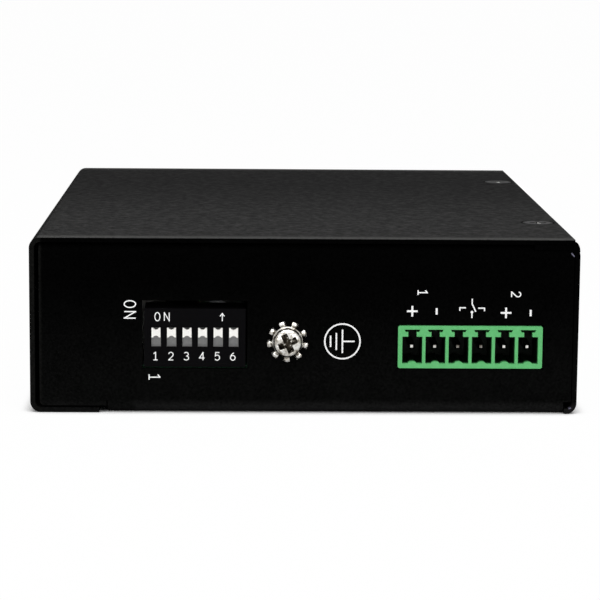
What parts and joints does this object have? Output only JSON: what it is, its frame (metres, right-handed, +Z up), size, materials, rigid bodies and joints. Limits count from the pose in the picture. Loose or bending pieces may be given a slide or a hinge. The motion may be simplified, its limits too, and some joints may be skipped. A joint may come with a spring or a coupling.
{
  "type": "din rail ethernet switch",
  "caption": "Flat black folded-steel network switch for a DIN rail: modular jacks on one edge, and a slide switch, ground screw and green power header on the end panel.",
  "frame": {"origin": "centre of the case's underside, on the large side that it lies on", "axes": "+X from the port wall to the DIN rail wall, +Y from the power end to the far end, +Z up through the case's thickness"},
  "size_m": [0.094, 0.1125, 0.029],
  "materials": {
    "case_paint": "fine-textured black powder coat on folded steel",
    "black_screws": "black-plated steel",
    "nickel": "bright nickel plate",
    "zinc_steel": "zinc-plated steel",
    "board": "green solder mask on glass-fibre board",
    "shield_steel": "nickel-plated drawn sheet",
    "jack_plastic": "moulded black plastic",
    "contact_gold": "gold-flashed spring bronze",
    "jack_lamp": "clear tinted lens",
    "switch_black": "moulded black plastic",
    "slide_white": "moulded white plastic",
    "header_green": "moulded green plastic",
    "pin_tin": "tin-plated brass",
    "lamp_green": "clear green epoxy",
    "lamp_red": "clear red epoxy",
    "component_black": "moulded black epoxy",
    "thermal_grey": "soft filled silicone sheet",
    "sink_aluminium": "extruded, clear anodised",
    "relay_case": "moulded dark blue case",
    "can_aluminium": "drawn aluminium cans",
    "clip_steel": "nickel-plated steel strip",
    "spring_steel": "spring steel leaf"
  },
  "bodies": {
    "case": {"alarm_relay": "relay_case", "base_tray": "case_paint", "board_screws": "zinc_steel", "board_standoffs": "zinc_steel", "circuit_board": "board", "clinch_nuts": "zinc_steel", "clip_screws": "black_screws", "clip_spring": "spring_steel", "clock_crystal": "zinc_steel", "cover_screws": "black_screws", "ground_screw": "nickel", "ground_washer": "nickel", "header_pins": "pin_tin", "heat_sink": "sink_aluminium", "jack_contacts_1": "contact_gold", "jack_contacts_2": "contact_gold", "jack_contacts_3": "contact_gold", "jack_contacts_4": "contact_gold", "jack_contacts_5": "contact_gold", "jack_housing_1": "jack_plastic", "jack_housing_2": "jack_plastic", "jack_housing_3": "jack_plastic", "jack_housing_4": "jack_plastic", "jack_housing_5": "jack_plastic", "jack_lamps": "jack_lamp", "jack_shield_1": "shield_steel", "jack_shield_2": "shield_steel", "jack_shield_3": "shield_steel", "jack_shield_4": "shield_steel", "jack_shield_5": "shield_steel", "lamp_holder": "jack_plastic", "line_transformer_1": "component_black", "line_transformer_2": "component_black", "line_transformer_3": "component_black", "line_transformer_4": "component_black", "line_transformer_5": "component_black", "power_capacitors": "can_aluminium", "power_coil": "component_black", "power_header": "header_green", "rail_clip": "clip_steel", "status_lamp_1": "lamp_green", "status_lamp_2": "lamp_green", "status_lamp_3": "lamp_red", "switch_body": "switch_black", "switch_chip": "component_black", "thermal_pad": "thermal_grey", "top_cover": "case_paint"},
    "slide_1": {"switch_slide_1": "slide_white"},
    "slide_2": {"switch_slide_2": "slide_white"},
    "slide_3": {"switch_slide_3": "slide_white"},
    "slide_4": {"switch_slide_4": "slide_white"},
    "slide_5": {"switch_slide_5": "slide_white"},
    "slide_6": {"switch_slide_6": "slide_white"}
  },
  "joints": [
    {"name": "slide_1_travel", "type": "slide", "parent": "case", "child": "slide_1", "axis": [0, 0, 1], "range_m": [-0.00165, 0]},
    {"name": "slide_2_travel", "type": "slide", "parent": "case", "child": "slide_2", "axis": [0, 0, 1], "range_m": [-0.00165, 0]},
    {"name": "slide_3_travel", "type": "slide", "parent": "case", "child": "slide_3", "axis": [0, 0, 1], "range_m": [-0.00165, 0]},
    {"name": "slide_4_travel", "type": "slide", "parent": "case", "child": "slide_4", "axis": [0, 0, 1], "range_m": [-0.00165, 0]},
    {"name": "slide_5_travel", "type": "slide", "parent": "case", "child": "slide_5", "axis": [0, 0, 1], "range_m": [-0.00165, 0]},
    {"name": "slide_6_travel", "type": "slide", "parent": "case", "child": "slide_6", "axis": [0, 0, 1], "range_m": [-0.00165, 0]}
  ]
}
